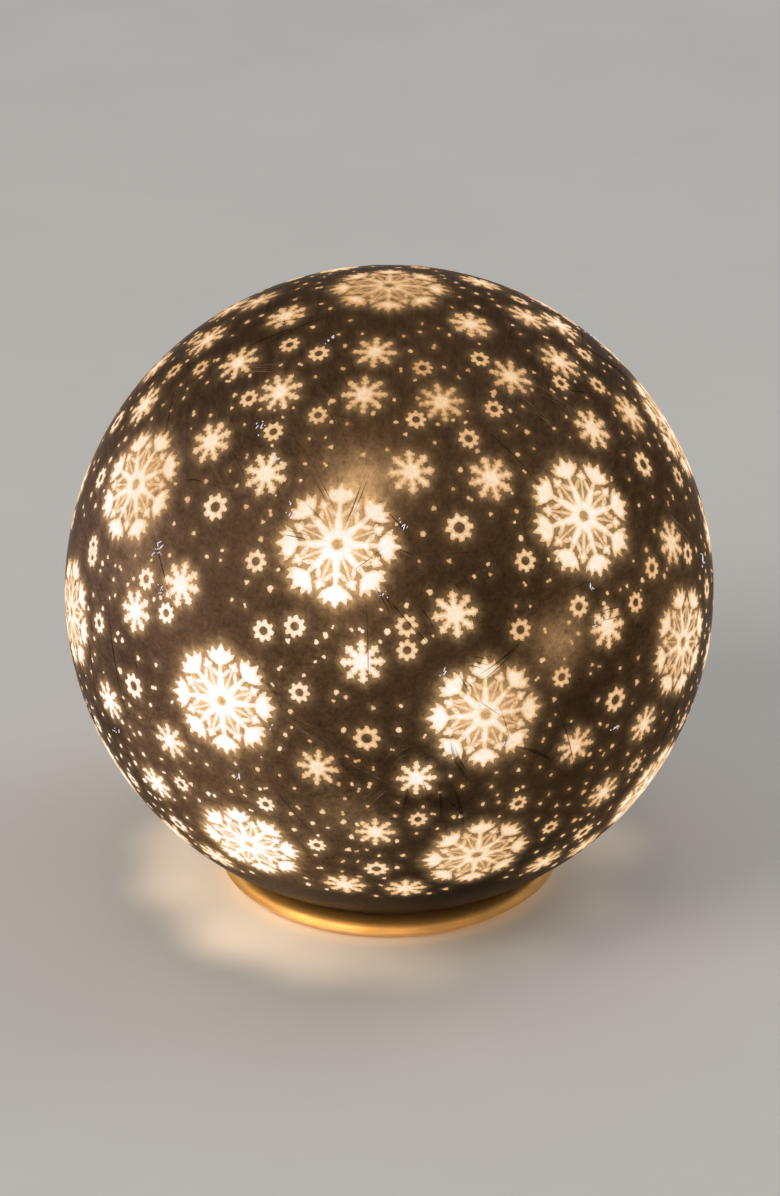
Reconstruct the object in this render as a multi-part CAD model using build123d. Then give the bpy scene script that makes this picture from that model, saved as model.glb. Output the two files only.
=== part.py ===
from build123d import *
import math
import os

os.makedirs("parts", exist_ok=True)

# Battery lamp made of a silvered glass ball, about 200 mm across, that stands in a low
# gold-coloured base. A wire of small LEDs stands coiled inside the ball. The base holds
# three AA cells in a housing that rises through the ball's neck.
#
# Origin: centre of the base, on the table. +Z is up, -Y is the front.
# All lengths are in millimetres.

# ---------------------------------------------------------------- driving dimensions

BALL_R = 100.0            # outside radius of the glass ball
BALL_Z = 95.0             # height of the ball's centre above the table
GLASS_T = 1.8             # wall of the ball
NECK_Z = 6.0              # height of the flat cut that opens the ball's underside

SEAT_R = 47.9             # outside of the base's seat, which holds the ball
SEAT_W = 2.0              # width of the seat
SEAT_GAP = 0.12           # gap between the seat and the glass
LIP_R = 53.5              # outermost edge of the base's shoulder
LIP_Z = 3.5               # height of that edge
LIP_ROUND = 0.6           # its rounding underneath
RING_BOTTOM = 0.6         # height of the ring's underside
RING_FOOT_R = 50.5        # outside of the ring's underside
WEB_Z = (3.05, 4.4)       # underside and top of the web inside the ring
WEB_R = 39.6              # hole in the web, which the housing passes through

CUP_R = 39.2              # outside of the housing that rises into the ball
CUP_T = 1.6               # its wall
CUP_Z = (3.4, 27.0)       # its lower edge and its top
CUP_FLANGE_R = 41.0       # its flange, clamped on the web
COVER_R = 46.0            # bottom cover
COVER_Z = (1.0, 3.0)      # its underside and upper face
FOOT_R = (41.8, 45.6)     # foam ring under the cover

CELL_R = 7.15             # AA cell
CELL_L = 50.5             # its length over the nub
NUB_R = 2.75
NUB_L = 1.0
CELL_Z = 10.6             # height of the cells' axes
CELL_PITCH = 14.9
CELLS_X = -2.0            # the middle cell's axis
BAY_Y = 27.6              # contact faces, in front of and behind the middle
PLATE_T = 0.4             # nickel-plated contact strip

DOOR_X = (-24.65, 20.65)  # battery door, side to side
DOOR_FRONT = -30.65       # its front edge
HINGE_Y = 30.0            # its hinge line
DOOR_GAP = 0.35           # gap round the door
PIN_R = 0.65              # moulded hinge pins
PIN_L = 2.0
PIN_CLEARANCE = 0.07

BOARD_X = (23.2, 34.2)    # circuit board
BOARD_Y = 14.0            # its half length
BOARD_Z = (9.4, 10.4)
SWITCH_X = 28.5           # slide switch under the board
SWITCH_TRAVEL = 5.0       # ON at rest, OFF half way, TIMER at the end

WIRE_R = 0.45             # LED wire
LEAD_R = 0.6              # battery leads
LED_COUNT = 20

COVER_SCREWS = [(-32.5, -14.0), (-32.5, 14.0), (29.0, -22.0), (29.0, 22.0)]
DOOR_SCREW = (CELLS_X, -33.5)
TRAY_SCREWS = [(CELLS_X - CELL_PITCH / 2, 0.0), (CELLS_X + CELL_PITCH / 2, 0.0)]
BOARD_SCREWS = [(31.0, -10.5), (31.0, 10.5)]
WIRE_EXIT = (28.5, 5.0)   # where the LED wire leaves the board and the housing

CELL_X = [CELLS_X - CELL_PITCH, CELLS_X, CELLS_X + CELL_PITCH]
PLUS_END = [1, -1, 1]     # +1 where a cell's nub points to the back


# ---------------------------------------------------------------- shared shapes

def rod(radius, low, high, at=(0.0, 0.0)):
    """A vertical cylinder between two heights."""
    body = Cylinder(radius, high - low, align=(Align.CENTER, Align.CENTER, Align.MIN))
    return Pos(at[0], at[1], low) * body


def tube(inner, outer, low, high):
    """A vertical ring between two heights."""
    return rod(outer, low, high) - rod(inner, low - 1, high + 1)


def block(x, y, z):
    """A box from its lowest and highest x, y and z."""
    size = Box(x[1] - x[0], y[1] - y[0], z[1] - z[0], align=Align.MIN)
    return Pos(x[0], y[0], z[0]) * size


def glass_height(radius, gap):
    """Height of the ball's underside at a radius, moved outwards by a gap."""
    return BALL_Z - math.sqrt((BALL_R + gap) ** 2 - radius ** 2)


def cross_recess(size, depth, at, low):
    """A cross for a screwdriver, cut upwards into a screw's head."""
    half = size / 6
    one = block((at[0] - size, at[0] + size), (at[1] - half, at[1] + half), (low - 1, low + depth))
    two = block((at[0] - half, at[0] + half), (at[1] - size, at[1] + size), (low - 1, low + depth))
    return one + two


def screw(head_r, head_z, shank_r, shank_top, at):
    """A cross-head screw, driven from below."""
    body = rod(head_r, head_z[0], head_z[1], at) + rod(shank_r, head_z[1], shank_top, at)
    return body - cross_recess(head_r * 0.62, 0.7, at, head_z[0])


def group(solids):
    """Separate solids kept together in one node."""
    return Compound(children=list(solids))


def cord(points, radius):
    """A round wire along straight runs joined by arcs as large as the runs allow."""
    spots = [Vector(*p) for p in points]
    radii = []
    for before, here, after in zip(spots, spots[1:], spots[2:]):
        turn = math.radians((here - before).get_angle(after - here))
        run = min((here - before).length, (after - here).length)
        radii.append(0.45 * run / math.tan(turn / 2))
    path = FilletPolyline(*spots, radius=radii)
    start = Plane(origin=path @ 0, z_dir=path % 0)
    solid = sweep(start * Circle(radius), path=path)
    expected = math.pi * radius ** 2 * path.length
    print(f"cord {path.length:.0f} mm, arcs {min(radii):.1f} to {max(radii):.1f} mm, "
          f"volume {solid.volume / expected:.4f} of section x length")
    return solid, path


# ---------------------------------------------------------------- ball and base

def glass_ball():
    """Blown ball, cut flat and open underneath."""
    shell = Sphere(BALL_R) - Sphere(BALL_R - GLASS_T)
    below = block((-BALL_R, BALL_R), (-BALL_R, BALL_R), (-BALL_R, NECK_Z))
    return Pos(0, 0, BALL_Z) * shell - below


def neck_seal():
    """Silicone ring between the ball's cut edge and the base."""
    return tube(42.0, 45.4, WEB_Z[1] + 0.02, NECK_Z - 0.02)


def base_ring():
    """Cast ring: seat for the ball, round shoulder that is level at the glass, inner web."""
    seat_in = SEAT_R - SEAT_W
    seat_top = glass_height(SEAT_R, SEAT_GAP)
    bore = COVER_R + 0.2
    under = (LIP_R - LIP_ROUND, LIP_Z - LIP_ROUND)
    lines = [
        Line((bore, RING_BOTTOM), (RING_FOOT_R, RING_BOTTOM)),
        Line((RING_FOOT_R, RING_BOTTOM), under),
        TangentArc((LIP_R, LIP_Z), under, tangent=(0, -1)),
        TangentArc((SEAT_R, seat_top), (LIP_R, LIP_Z), tangent=(1, 0)),
        Polyline((SEAT_R, seat_top),
                 (seat_in, glass_height(seat_in, SEAT_GAP)),
                 (seat_in, WEB_Z[1]),
                 (WEB_R, WEB_Z[1]),
                 (WEB_R, WEB_Z[0]),
                 (bore, WEB_Z[0]),
                 (bore, RING_BOTTOM)),
    ]
    section = make_face(Curve() + lines)
    return revolve(Plane.XZ * section, Axis.Z)


def foot_ring():
    """Foam ring that the lamp stands on."""
    return tube(FOOT_R[0], FOOT_R[1], 0.0, COVER_Z[0])


# ---------------------------------------------------------------- housing and cover

def housing_cup():
    """Upturned cup with screw posts, which holds the cells, tray and board."""
    low, high = CUP_Z
    inner = CUP_R - CUP_T
    ceiling = high - CUP_T
    shell = fillet(rod(CUP_R, low, high).edges().sort_by(Axis.Z)[-1], 2.5)
    shell -= rod(inner, low - 1, ceiling)
    shell += tube(CUP_R - 0.4, CUP_FLANGE_R, WEB_Z[1] + 0.03, WEB_Z[1] + 1.2)
    for spot in COVER_SCREWS:
        shell += rod(2.6, COVER_Z[1] + 0.05, ceiling, spot)
    shell += rod(3.2, low, ceiling, DOOR_SCREW)
    shell += block((CELLS_X - 1, CELLS_X + 1), (-CUP_R + 1, DOOR_SCREW[1] - 2), (low, ceiling))
    for spot in TRAY_SCREWS:
        shell += rod(2.3, 19.75, ceiling + 0.1, spot)
    for spot in BOARD_SCREWS:
        shell += rod(2.0, BOARD_Z[1] + 0.05, ceiling + 0.1, spot)
    for spot in COVER_SCREWS:
        shell -= rod(1.15, 2.0, 14.0, spot)
    shell -= rod(1.75, low - 1, 8.5, DOOR_SCREW)
    for spot in TRAY_SCREWS:
        shell -= rod(1.0, 19.0, 25.0, spot)
    for spot in BOARD_SCREWS:
        shell -= rod(0.9, 10.0, 16.5, spot)
    return shell - rod(3.0, ceiling - 1, high + 1, WIRE_EXIT)


def door_outline(gap, low, high):
    """The battery door's flat plate, grown by a gap for the hole it fits."""
    plate = block((DOOR_X[0] - gap, DOOR_X[1] + gap), (DOOR_FRONT - gap, HINGE_Y), (low, high))
    tongue = rod(3.6 + gap, low, high, DOOR_SCREW)
    neck = block((DOOR_SCREW[0] - 3.6 - gap, DOOR_SCREW[0] + 3.6 + gap),
                 (DOOR_SCREW[1], DOOR_FRONT + 1), (low, high))
    return plate + tongue + neck


def hinge_rod(radius, x):
    """A cylinder along the battery door's hinge line."""
    body = Rot(0, 90, 0) * Cylinder(radius, x[1] - x[0])
    return Pos((x[0] + x[1]) / 2, HINGE_Y, sum(COVER_Z) / 2) * body


def bottom_cover():
    """Round cover with the battery opening, the switch slot and four screw holes."""
    low, high = COVER_Z
    knuckle = (high - low) / 2
    plate = rod(COVER_R, low, high)
    plate -= door_outline(DOOR_GAP, low - 1, high + 1)
    plate -= block((DOOR_X[0] - DOOR_GAP, DOOR_X[1] + DOOR_GAP),
                   (HINGE_Y - 1, HINGE_Y + knuckle + DOOR_GAP + 0.05), (low - 1, high + 1))
    reach = PIN_L + 0.3
    plate -= hinge_rod(PIN_R + PIN_CLEARANCE, (DOOR_X[0] - reach, DOOR_X[1] + reach))
    for spot in COVER_SCREWS:
        plate -= rod(2.6, low - 1, low + 1.25, spot)
        plate -= rod(1.35, low, high + 1, spot)
    grip = (SWITCH_X - 4.0, SWITCH_X + 4.0)
    plate -= block(grip, (-7.0, 7.0), (low - 1, low + 0.8))
    plate -= block((SWITCH_X - 1.35, SWITCH_X + 1.35), (-4.15, 4.15), (low, high + 1))
    return plate


def battery_door():
    """Door over the cells, with moulded hinge pins, grip grooves and a screw tongue."""
    low, high = COVER_Z
    plate = door_outline(0.0, low, high)
    plate += hinge_rod((high - low) / 2, DOOR_X)
    plate += hinge_rod(PIN_R, (DOOR_X[0] - PIN_L, DOOR_X[1] + PIN_L))
    for row in range(3):
        y = -22.0 + 2.5 * row
        plate -= block((CELLS_X - 7, CELLS_X + 7), (y, y + 1.1), (low - 1, low + 0.45))
    plate -= rod(2.5, low - 1, low + 1.3, DOOR_SCREW)
    return plate - rod(1.5, low, high + 1, DOOR_SCREW)


# ---------------------------------------------------------------- cells and contacts

def battery(index):
    """AA cell lying front to back, its nub against the flat contact."""
    can = Cylinder(CELL_R, CELL_L - NUB_L, align=(Align.CENTER, Align.CENTER, Align.MIN))
    can = fillet(can.edges().filter_by(GeomType.CIRCLE), 0.6)
    nub = Cylinder(NUB_R, NUB_L + 0.5, align=(Align.CENTER, Align.CENTER, Align.MIN))
    cell = can + Pos(0, 0, CELL_L - NUB_L - 0.5) * nub
    turn = -90 * PLUS_END[index]
    start = PLUS_END[index] * (BAY_Y - 0.05 - CELL_L)
    return Pos(CELL_X[index], start, CELL_Z) * Rot(turn, 0, 0) * cell


def contact_spring(index):
    """Conical spring behind a cell's flat end."""
    length = 2 * BAY_Y - CELL_L - 0.2
    wire_r = 0.32
    turns = 3
    rise = length - 2 * wire_r
    path = Helix(pitch=rise / turns, height=rise, radius=3.4, cone_angle=-8)
    start = Plane(origin=path @ 0, z_dir=path % 0)
    coil = sweep(start * Circle(wire_r), path=path)
    side = -PLUS_END[index]
    place = Pos(CELL_X[index], side * (BAY_Y - wire_r - 0.05), CELL_Z)
    return place * Rot(90 * side, 0, 0) * coil


def strip(x, side):
    """Flat contact strip against one end wall of the tray."""
    near = side * (BAY_Y + 0.02)
    far = side * (BAY_Y + 0.02 + PLATE_T)
    return block(x, (min(near, far), max(near, far)), (4.8, 16.0))


def end_contact(index, side):
    """Strip for the first or last cell, with a solder tag that passes up the tray."""
    middle = CELL_X[index]
    near = side * (BAY_Y + 0.02)
    far = side * (BAY_Y + 0.02 + PLATE_T)
    tag = block((middle - 1.5, middle + 1.5), (min(near, far), max(near, far)), (15.0, 21.8))
    return strip((middle - 4.5, middle + 4.5), side) + tag


def battery_tray():
    """Open tray over the cells: ceiling, four walls and two ribs between the cells."""
    ceiling = (18.3, 19.7)
    skirt = (4.2, ceiling[1])
    ends = (BAY_Y + 0.02 + PLATE_T + 0.03, 29.5)
    left = (CELL_X[0] - CELL_R - 1.6, CELL_X[0] - CELL_R - 0.4)
    right = (CELL_X[2] + CELL_R + 0.4, CELL_X[2] + CELL_R + 1.6)
    tray = block((left[0], right[1]), (-ends[1], ends[1]), ceiling)
    tray += block((left[0], right[1]), ends, skirt)
    tray += block((left[0], right[1]), (-ends[1], -ends[0]), skirt)
    tray += block(left, (-ends[1], ends[1]), skirt)
    tray += block(right, (-ends[1], ends[1]), skirt)
    for spot in TRAY_SCREWS:
        rib = block((spot[0] - 1, spot[0] + 1), (-24, 24), (14.5, ceiling[1]))
        tray += rib - rod(4.0, 10.0, ceiling[0], spot)
        tray -= rod(1.1, 10.0, 21.0, spot)
    for index, side in ((0, 1), (2, -1)):
        y = sorted((side * (BAY_Y - 0.2), side * (BAY_Y + PLATE_T + 0.1)))
        tray -= block((CELL_X[index] - 1.7, CELL_X[index] + 1.7), y, (17.0, 21.0))
    return tray & rod(CUP_R - CUP_T - 0.3, 0.0, 30.0)


# ---------------------------------------------------------------- board and switch

def circuit_board():
    """Board for the timer, carried by two posts in the cup."""
    board = block(BOARD_X, (-BOARD_Y, BOARD_Y), BOARD_Z)
    board = fillet(board.edges().filter_by(Axis.Z), 1.0)
    for spot in BOARD_SCREWS:
        board -= rod(1.1, 8.0, 12.0, spot)
    return board - rod(WIRE_R + 0.05, 8.0, 12.0, WIRE_EXIT)


def timer_chip():
    """Eight-legged timer chip."""
    top = BOARD_Z[1] + 0.02
    body = block((26.6, 30.4), (-8.5, -3.5), (top + 0.15, top + 1.6))
    for row in range(4):
        y = -7.9 + 1.27 * row
        body += block((25.6, 31.4), (y - 0.2, y + 0.2), (top + 0.5, top + 0.75))
        body += block((25.0, 25.7), (y - 0.2, y + 0.2), (top, top + 0.75))
        body += block((31.3, 32.0), (y - 0.2, y + 0.2), (top, top + 0.75))
    return body


def timer_crystal():
    """Small can crystal lying on the board."""
    can = Rot(90, 0, 0) * Cylinder(1.0, 5.6)
    return Pos(33.1, -1.2, BOARD_Z[1] + 1.05) * can


def capacitor():
    """Upright can capacitor."""
    can = rod(2.0, BOARD_Z[1] + 0.02, BOARD_Z[1] + 5.2, (32.0, 5.0))
    return fillet(can.edges().sort_by(Axis.Z)[-1], 0.4)


def resistors():
    """Two chip resistors."""
    top = BOARD_Z[1] + 0.02
    return group(block((24.6, 25.9), (y, y + 2.0), (top, top + 0.55)) for y in (-1.6, 2.4))


def switch_body():
    """Pressed case of the slide switch, soldered under the board."""
    top = BOARD_Z[0] - 0.02
    case = block((SWITCH_X - 2.8, SWITCH_X + 2.8), (-6.0, 6.0), (4.6, top))
    case -= block((SWITCH_X - 2.2, SWITCH_X + 2.2), (-5.4, 5.4), (5.2, top - 0.6))
    return case - block((SWITCH_X - 1.35, SWITCH_X + 1.35), (-4.15, 4.15), (4.0, 5.4))


def switch_knob():
    """Slider inside the case with the stem that a fingernail moves. Rests at ON."""
    y = -SWITCH_TRAVEL / 2
    slider = block((SWITCH_X - 1.9, SWITCH_X + 1.9), (y - 2.6, y + 2.6), (5.5, 8.4))
    stem = block((SWITCH_X - 1.0, SWITCH_X + 1.0), (y - 1.3, y + 1.3), (1.3, 5.6))
    return slider + stem


# ---------------------------------------------------------------- wires and lamps

def wire_grommet():
    """Rubber grommet where the LED wire leaves the housing."""
    high = CUP_Z[1]
    ceiling = high - CUP_T
    body = rod(2.95, ceiling - 0.8, high + 0.8, WIRE_EXIT)
    body += rod(4.0, high + 0.02, high + 0.8, WIRE_EXIT)
    body += rod(4.0, ceiling - 0.8, ceiling - 0.02, WIRE_EXIT)
    return body - rod(WIRE_R + 0.05, ceiling - 2, high + 2, WIRE_EXIT)


def lead_red():
    """Lead from the first cell's plus contact, over the tray, to the board."""
    top = 20.6
    points = [(CELL_X[0], BAY_Y - 0.1, top), (CELL_X[0], 19.5, top), (-8.0, 14.0, top),
              (3.0, 13.0, top + 0.3), (14.0, 10.0, top + 0.3), (22.5, 8.5, 19.6),
              (25.2, 9.5, 14.5), (25.2, 9.5, BOARD_Z[1] + 0.02)]
    return cord(points, LEAD_R)[0]


def lead_black():
    """Lead from the last cell's minus contact to the board."""
    top = 20.6
    points = [(CELL_X[2], 0.1 - BAY_Y, top), (CELL_X[2], -20.5, top), (16.5, -14.5, top + 0.2),
              (22.6, -11.0, 19.4), (25.0, -11.2, 15.0), (25.0, -11.2, BOARD_Z[1] + 0.02)]
    return cord(points, LEAD_R)[0]


def led_route():
    """Up out of the housing, then a loose rising coil that keeps clear of the glass."""
    x, y = WIRE_EXIT
    points = [(x, y, BOARD_Z[0]), (x, y, 36.0)]
    per_turn = 12
    steps = 4 * per_turn
    for step in range(1, steps + 1):
        part = step / steps
        angle = 2 * math.pi * step / per_turn
        widen = min(1.0, step / 5)
        radius = 34 + widen * (18 + 20 * math.sin(math.pi * part)) + 2.5 * math.sin(2.3 * angle)
        height = 39 + 109 * part + 2.0 * math.sin(1.7 * angle)
        points.append((radius * math.cos(angle), radius * math.sin(angle), height))
    return points


def led_wire_and_beads():
    """The LED wire, and the clear drops cast round it at even spacing."""
    wire, path = cord(led_route(), WIRE_R)
    first = 150.0 / path.length
    beads = []
    for number in range(LED_COUNT):
        along = first + (1 - first) * (number + 1) / LED_COUNT
        spot = Plane(origin=path @ along, z_dir=path % along)
        drop = Cylinder(1.6, 4.6)
        drop = fillet(drop.edges().filter_by(GeomType.CIRCLE), 1.3)
        beads.append(spot * drop)
    return wire, group(beads)


# ---------------------------------------------------------------- write every node

LED_WIRE, LED_BEADS = led_wire_and_beads()

NODES = {
    "glass_ball": glass_ball(),
    "neck_seal": neck_seal(),
    "base_ring": base_ring(),
    "foot_ring": foot_ring(),
    "housing_cup": housing_cup(),
    "bottom_cover": bottom_cover(),
    "battery_door": battery_door(),
    "door_screw": screw(2.2, (1.1, 2.2), 1.2, 7.0, DOOR_SCREW),
    "battery_tray": battery_tray(),
    "contact_positive": end_contact(0, 1),
    "contact_negative": end_contact(2, -1),
    "contact_bridge_1": strip((CELL_X[0] - 4.5, CELL_X[1] + 4.5), -1),
    "contact_bridge_2": strip((CELL_X[1] - 4.5, CELL_X[2] + 4.5), 1),
    "circuit_board": circuit_board(),
    "timer_chip": timer_chip(),
    "timer_crystal": timer_crystal(),
    "capacitor": capacitor(),
    "resistors": resistors(),
    "switch_body": switch_body(),
    "switch_knob": switch_knob(),
    "wire_grommet": wire_grommet(),
    "lead_red": lead_red(),
    "lead_black": lead_black(),
    "led_wire": LED_WIRE,
    "led_beads": LED_BEADS,
    "cover_screws": group(screw(2.3, (1.05, 2.2), 1.1, 9.0, spot) for spot in COVER_SCREWS),
    "tray_screws": group(screw(1.9, (17.1, 18.25), 0.95, 24.5, spot) for spot in TRAY_SCREWS),
    "board_screws": group(screw(1.8, (8.2, 9.35), 0.85, 15.0, spot) for spot in BOARD_SCREWS),
}
for number in range(3):
    NODES[f"battery_{number + 1}"] = battery(number)
    NODES[f"contact_spring_{number + 1}"] = contact_spring(number)

for name, shape in NODES.items():
    export_step(shape, f"parts/{name}.step")
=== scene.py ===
"""Looks of the snowflake glass ball lamp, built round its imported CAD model."""
import math
import random
from collections import Counter

import bpy
import numpy as np
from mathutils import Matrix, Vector, kdtree
from mathutils.geometry import delaunay_2d_cdt


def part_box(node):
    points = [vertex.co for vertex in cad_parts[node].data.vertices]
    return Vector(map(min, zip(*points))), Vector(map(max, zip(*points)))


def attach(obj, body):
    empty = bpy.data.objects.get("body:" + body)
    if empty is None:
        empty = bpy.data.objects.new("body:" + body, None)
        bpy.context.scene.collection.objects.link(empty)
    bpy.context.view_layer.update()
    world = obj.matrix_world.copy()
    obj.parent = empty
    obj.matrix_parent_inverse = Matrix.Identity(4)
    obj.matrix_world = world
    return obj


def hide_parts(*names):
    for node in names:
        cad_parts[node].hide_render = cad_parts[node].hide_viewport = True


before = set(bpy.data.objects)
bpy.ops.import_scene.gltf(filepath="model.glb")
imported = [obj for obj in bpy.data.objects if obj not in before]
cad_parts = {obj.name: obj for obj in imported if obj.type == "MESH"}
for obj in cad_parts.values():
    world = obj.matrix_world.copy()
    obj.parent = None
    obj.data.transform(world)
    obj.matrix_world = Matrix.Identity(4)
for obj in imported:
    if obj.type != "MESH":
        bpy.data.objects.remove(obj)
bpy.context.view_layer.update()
MM = 0.001

# ---- Camera -------------------------------------------------------------------------------------
# A long lens on a tripod, 1.2 m from the middle of the ball and 25 degrees above it, square to the
# front. It is aimed a little under the ball's middle, so that the ball stands a little high.
ball_low, ball_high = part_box("glass_ball")
BALL_R = (ball_high.x - ball_low.x) / 2
BALL_MIDDLE = Vector((0, 0, ball_high.z - BALL_R))
camera_distance = 1.2
camera_rise = math.radians(25)
aim_under, aim_right = 2.7 * MM, 0.22 * MM
camera_back = Vector((0, -math.cos(camera_rise), math.sin(camera_rise)))
camera_up = Vector((0, math.sin(camera_rise), math.cos(camera_rise)))
aim = BALL_MIDDLE - aim_under * camera_up + Vector((aim_right, 0, 0))
scene = bpy.context.scene
camera = bpy.data.objects.new("camera", bpy.data.cameras.new("camera"))
scene.collection.objects.link(camera)
camera.data.lens = 116.8
camera.data.sensor_width = 36
camera.location = BALL_MIDDLE + camera_distance * camera_back
camera.rotation_euler = (aim - camera.location).to_track_quat("-Z", "Y").to_euler()
scene.camera = camera
scene.view_settings.view_transform = "Standard"


# ---- Floor and studio light ---------------------------------------------------------------------
# A plain pale table top under the lamp, a large soft box at the front left, a weaker one at the
# right and an even pale room. The table top is clear from below and lets light up through it, so that
# the underside can be seen.
def material_named(name, base, roughness, **sockets):
    """A new Principled material with its plain values set on its own sockets."""
    material = bpy.data.materials.new(name)
    material.use_nodes = True
    shader = material.node_tree.nodes["Principled BSDF"]
    shader.inputs["Base Color"].default_value = (*base, 1)
    shader.inputs["Roughness"].default_value = roughness
    for socket, value in sockets.items():
        shader.inputs[socket.replace("_", " ")].default_value = value
    return material, material.node_tree, shader


def node(tree, kind, **settings):
    """A new node of that kind. Settings named after an input set it; the others are properties."""
    made = tree.nodes.new("ShaderNode" + kind)
    for name, value in settings.items():
        socket = made.inputs.get(name.replace("_", " "))
        if socket is None:
            setattr(made, name, value)
        else:
            socket.default_value = value
    return made


def maths(tree, operation, first, second):
    """One sum of a node's output, or a number, with another."""
    made = tree.nodes.new("ShaderNodeMath")
    made.operation = operation
    for socket, value in zip(made.inputs, (first, second)):
        if isinstance(value, (int, float)):
            socket.default_value = value
        else:
            tree.links.new(value, socket)
    return made.outputs[0]


def between(tree, mask, dark, light):
    """A colour that goes from dark to light as the mask goes from 0 to 1."""
    made = node(tree, "Mix", data_type="RGBA")
    parts = ((made.inputs["Factor"], mask), (made.inputs[6], dark), (made.inputs[7], light))
    for socket, value in parts:
        if isinstance(value, tuple):
            socket.default_value = (*value, 1)
        elif isinstance(value, (int, float)):
            socket.default_value = value
        else:
            tree.links.new(value, socket)
    return made.outputs[2]


def tinted(tree, shader, mask, dark, light, socket="Base Color"):
    """Gives the shader's colour socket a tone that goes from dark to light with the mask."""
    tree.links.new(between(tree, mask, dark, light), shader.inputs[socket])


def roughened(tree, shader, mask, low, high):
    """Lets the roughness go from low to high with the mask."""
    spread = node(tree, "MapRange", To_Min=low, To_Max=high)
    tree.links.new(mask, spread.inputs["Value"])
    tree.links.new(spread.outputs[0], shader.inputs["Roughness"])


def embossed(tree, shader, height, strength, depth):
    """Relief of that depth, in metres, from a height."""
    relief = node(tree, "Bump", Strength=strength, Distance=depth)
    tree.links.new(height, relief.inputs["Height"])
    tree.links.new(relief.outputs[0], shader.inputs["Normal"])


def stored(tree, name):
    """The number that the mesh carries at each point under that name."""
    return node(tree, "Attribute", attribute_name=name).outputs["Fac"]


def make_group(name, inputs, outputs):
    """An empty shader node group with those number inputs and outputs."""
    group = bpy.data.node_groups.new(name, "ShaderNodeTree")
    for socket, value in inputs.items():
        kind = "NodeSocketVector" if isinstance(value, tuple) else "NodeSocketFloat"
        group.interface.new_socket(socket, in_out="INPUT", socket_type=kind).default_value = value
    for socket in outputs:
        group.interface.new_socket(socket, in_out="OUTPUT", socket_type="NodeSocketFloat")
    return group, group.nodes.new("NodeGroupInput"), group.nodes.new("NodeGroupOutput")


def placed(tree, group, **values):
    """The node group placed in a material with its own values."""
    made = tree.nodes.new("ShaderNodeGroup")
    made.node_tree = group
    for name, value in values.items():
        made.inputs[name].default_value = value
    return made


# Mottle: soft cloudy change in a finish, with finer grain in it. Squeeze draws it out along an axis.
mottle, given, put = make_group(
    "mottle", {"Scale": 60.0, "Squeeze": (1.0, 1.0, 1.0), "Contrast": 1.0}, ("Mask", "Height"))
place = node(mottle, "TexCoord").outputs["Object"]
stretched = node(mottle, "VectorMath", operation="MULTIPLY")
mottle.links.new(place, stretched.inputs[0])
mottle.links.new(given.outputs["Squeeze"], stretched.inputs[1])
clouds = node(mottle, "TexNoise", Detail=6.0, Roughness=0.62)
mottle.links.new(stretched.outputs[0], clouds.inputs["Vector"])
mottle.links.new(given.outputs["Scale"], clouds.inputs["Scale"])
spread = maths(mottle, "MULTIPLY", maths(mottle, "SUBTRACT", clouds.outputs["Fac"], 0.5),
               maths(mottle, "MULTIPLY", given.outputs["Contrast"], 2.2))
centred = maths(mottle, "ADD", spread, 0.5)
clamped = maths(mottle, "MINIMUM", maths(mottle, "MAXIMUM", centred, 0.0), 1.0)
mottle.links.new(clamped, put.inputs["Mask"])
mottle.links.new(clouds.outputs["Fac"], put.inputs["Height"])

floor_material, tree, shader = material_named("pale_table_top", (0.78, 0.77, 0.75), 0.6)
floor_mottle = placed(tree, mottle, Scale=9.0, Contrast=0.8)
tinted(tree, shader, floor_mottle.outputs["Mask"], (0.76, 0.75, 0.73), (0.81, 0.80, 0.78))
clear = node(tree, "BsdfTransparent")
seen_from = node(tree, "NewGeometry")
ray = node(tree, "LightPath")
either = node(tree, "MixShader")
see_through = maths(tree, "MAXIMUM", seen_from.outputs["Backfacing"], ray.outputs["Is Shadow Ray"])
tree.links.new(see_through, either.inputs[0])
tree.links.new(shader.outputs[0], either.inputs[1])
tree.links.new(clear.outputs[0], either.inputs[2])
tree.links.new(either.outputs[0], tree.nodes["Material Output"].inputs["Surface"])
floor_mesh = bpy.data.meshes.new("floor")
FLOOR_HALF = 6.0
floor_corners = ((-1, -1), (1, -1), (1, 1), (-1, 1))
floor_mesh.from_pydata([(x * FLOOR_HALF, y * FLOOR_HALF, 0) for x, y in floor_corners], [], [(0, 1, 2, 3)])
floor_mesh.materials.append(floor_material)
floor = bpy.data.objects.new("floor", floor_mesh)
scene.collection.objects.link(floor)

world = bpy.data.worlds.new("room")
world.use_nodes = True
background = world.node_tree.nodes["Background"]
background.inputs["Color"].default_value = (1.0, 0.98, 0.95, 1)
background.inputs["Strength"].default_value = 0.36
scene.world = world


def soft_box(name, place, side, watts, tone):
    """A square soft light that faces the lamp."""
    light = bpy.data.lights.new(name, "AREA")
    light.size = side
    light.energy = watts
    light.color = tone
    lamp = bpy.data.objects.new(name, light)
    lamp.location = place
    lamp.rotation_euler = (BALL_MIDDLE - Vector(place)).to_track_quat("-Z", "Y").to_euler()
    scene.collection.objects.link(lamp)


soft_box("key_box", (-1.9, -1.5, 2.1), 1.6, 30, (1.0, 0.95, 0.88))
soft_box("fill_box", (2.2, 0.9, 2.4), 1.8, 14, (0.92, 0.96, 1.0))
soft_box("under_box", (-0.5, -0.5, -1.2), 0.9, 13, (1.0, 0.97, 0.93))

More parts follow.
